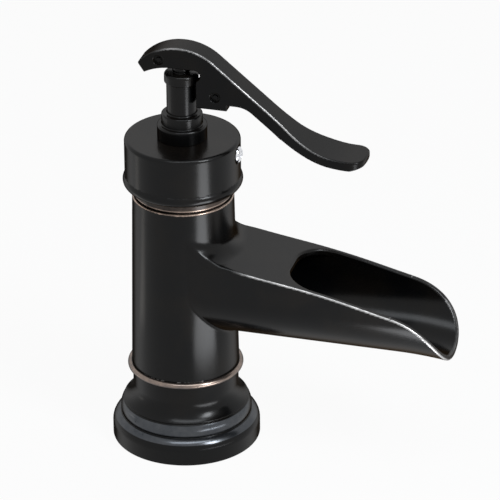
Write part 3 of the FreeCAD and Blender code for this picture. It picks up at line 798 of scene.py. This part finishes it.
def lever_touched(x, y, z):
    """Most of 1 on the top edges from the crest down the bar, where the hand slides. It fades out
    on the grip and on the tail."""
    near_top = lever_top(-y, z - lever_z) > -rubbed_depth
    before_grip = np.clip((y + rubbed_grip_reach) / rubbed_grip_run, 0, 1)
    before_tail = np.clip((rubbed_tail_reach - y) / rubbed_tail_run, 0, 1)
    return 0.8 * near_top * before_grip * before_tail


pump_lever = skin("pump_lever_cast", lever, lever_touched,
                  (-0.0106, -0.0838, 0.1408), (0.0106, 0.0193, 0.1904), cell=0.0004)
pump_lever.data.materials.append(rubbed_bronze("lever_bronze", burnished_below=1.0, lacquer_ior=1.21))
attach(pump_lever, "handle")
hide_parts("pump_lever")


# Stage. A pale floor, white to the camera and in reflections but keeping the shadow, under a
# plain white sky. Two soft lamps stand over the faucet, and two flat ones lie beside it.

def white_seen(place):
    """1 for the rays that see the background: camera, mirror and glass."""
    def ray(output):
        return place.node("ShaderNodeLightPath", output=output)
    return (ray("Is Camera Ray") + ray("Is Glossy Ray") + ray("Is Transmission Ray")).eased(0.0, 1.0)


floor_half, floor_white, sky_light = 3, 0.95, 0.08
floor_corners = [(-floor_half, -floor_half, 0), (floor_half, -floor_half, 0),
                 (floor_half, floor_half, 0), (-floor_half, floor_half, 0)]
floor_mesh = bpy.data.meshes.new("floor")
floor_mesh.from_pydata(floor_corners, [], [(0, 1, 2, 3)])
floor = bpy.data.objects.new("floor", floor_mesh)
bpy.context.scene.collection.objects.link(floor)
floor_finish, place = new_finish("pale_floor")
matt = place.node("ShaderNodeBsdfDiffuse", {}, {"Color": (0.6, 0.6, 0.6, 1)})
glow = place.node("ShaderNodeEmission", {}, {"Color": (1, 1, 1, 1)})
mixed = place.node("ShaderNodeMixShader", {}, {0: white_seen(place) * floor_white, 1: matt, 2: glow})
place.node("ShaderNodeOutputMaterial", {}, {"Surface": mixed})
floor_mesh.materials.append(floor_finish)

world = bpy.data.worlds.new("white_sky")
bpy.context.scene.world = world
world.use_nodes = True
world.node_tree.nodes.clear()
sky = Wire(world.node_tree)
dim = sky.node("ShaderNodeBackground", {}, {"Color": (1, 1, 1, 1), "Strength": sky_light})
white = sky.node("ShaderNodeBackground", {}, {"Color": (1, 1, 1, 1), "Strength": 1.0})
both = sky.node("ShaderNodeMixShader", {}, {0: white_seen(sky), 1: dim, 2: white})
sky.node("ShaderNodeOutputWorld", {}, {"Surface": both})


def seen_from(azimuth, elevation):
    """Direction from the faucet. Azimuth 0 is in front of the spout."""
    a, e = math.radians(azimuth), math.radians(elevation)
    return Vector((math.sin(a) * math.cos(e), -math.cos(a) * math.cos(e), math.sin(e)))


def area_lamp(name, width, height, watts, colour):
    """Flat lamp that the camera doesn't see."""
    light = bpy.data.lights.new(name, "AREA")
    light.shape = "RECTANGLE"
    light.size, light.size_y = width, height
    light.energy = watts
    light.color = colour
    lamp = bpy.data.objects.new(name, light)
    bpy.context.scene.collection.objects.link(lamp)
    lamp.visible_camera = False
    return lamp


def softbox(name, azimuth, elevation, distance, width, height, watts, colour):
    """Lamp aimed at the middle of the faucet."""
    middle = Vector((0, 0, 0.08))
    lamp = area_lamp(name, width, height, watts, colour)
    back = seen_from(azimuth, elevation)
    lamp.location = middle + back * distance
    lamp.rotation_euler = (-back).to_track_quat("-Z", "Y").to_euler()


def light_card(name, azimuth, near, far, width, watts, colour):
    """Lamp that lies on the floor beside the faucet and shines up."""
    lamp = area_lamp(name, width, far - near, watts, colour)
    lamp.location = seen_from(azimuth, 0) * (near + far) / 2 + Vector((0, 0, 0.002))
    lamp.rotation_euler = (math.pi, 0, math.radians(azimuth))


softbox("key_box", -27, 40, 1.2, 0.27, 0.46, 10.0, (0.92, 0.96, 1.0))
softbox("top_box", -66, 70, 1.2, 0.90, 0.30, 5.0, (0.90, 0.95, 1.0))
light_card("right_card", -34, 0.11, 0.36, 0.10, 0.75, (0.95, 0.97, 1.0))
light_card("left_card", -172, 0.13, 0.36, 0.04, 0.03, (1.0, 0.95, 0.88))


# Camera. A long lens from the side of the spout and a little above it, far enough away for the
# faucet to keep its proportions.

aim = Vector((0.0156, -0.0252, 0.0849))
camera_azimuth, camera_elevation, camera_distance = -73.98, 27.49, 1.9
camera_roll = 0.45
camera_data = bpy.data.cameras.new("camera")
camera_data.sensor_width = 36.0
camera_data.lens = 314.64
camera_data.clip_end = 20.0
camera = bpy.data.objects.new("camera", camera_data)
bpy.context.scene.collection.objects.link(camera)
back = seen_from(camera_azimuth, camera_elevation)
camera.location = aim + back * camera_distance
turn = Matrix.Rotation(math.radians(-camera_roll), 4, "Z")
camera.rotation_euler = ((-back).to_track_quat("-Z", "Y").to_matrix().to_4x4() @ turn).to_euler()
bpy.context.scene.camera = camera
bpy.context.scene.view_settings.view_transform = "Standard"
